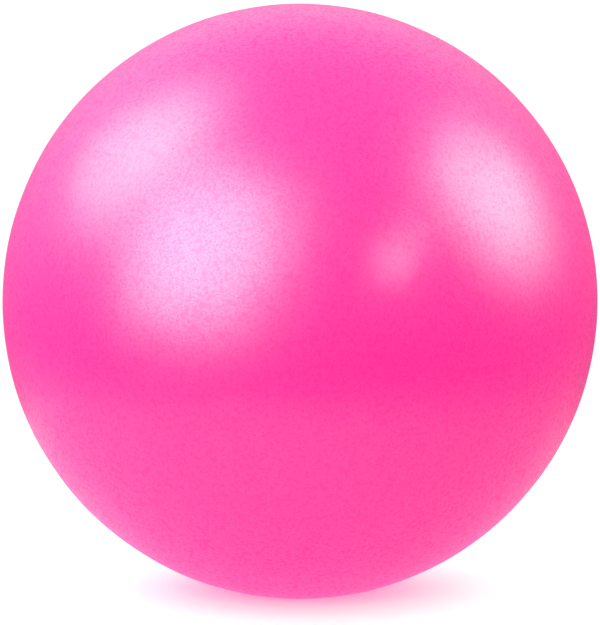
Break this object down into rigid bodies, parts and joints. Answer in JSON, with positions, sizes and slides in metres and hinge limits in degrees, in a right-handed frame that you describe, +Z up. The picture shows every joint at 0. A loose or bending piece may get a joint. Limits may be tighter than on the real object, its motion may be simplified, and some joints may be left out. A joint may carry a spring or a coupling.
{
  "type": "exercise ball",
  "caption": "Small inflatable exercise ball of soft satin plastic, standing on a small flat, with a push-in plug in its moulded valve.",
  "frame": {"origin": "centre of the ball", "axes": "+Z up, away from the flat the ball rests on; +Y along the valve axis, out of the ball"},
  "size_m": [0.25, 0.2497, 0.249],
  "materials": {
    "skin_pvc": "satin with a fine sanded grain",
    "sleeve_pvc": "smooth satin",
    "plug_plastic": "semi-gloss moulded"
  },
  "bodies": {
    "ball": {"ball_skin": "skin_pvc", "valve_sleeve": "sleeve_pvc"},
    "plug": {"valve_plug": "plug_plastic"}
  },
  "joints": [
    {"name": "plug_pull", "type": "slide", "parent": "ball", "child": "plug", "axis": [0, 1, 0], "range_m": [0, 0.03]}
  ]
}
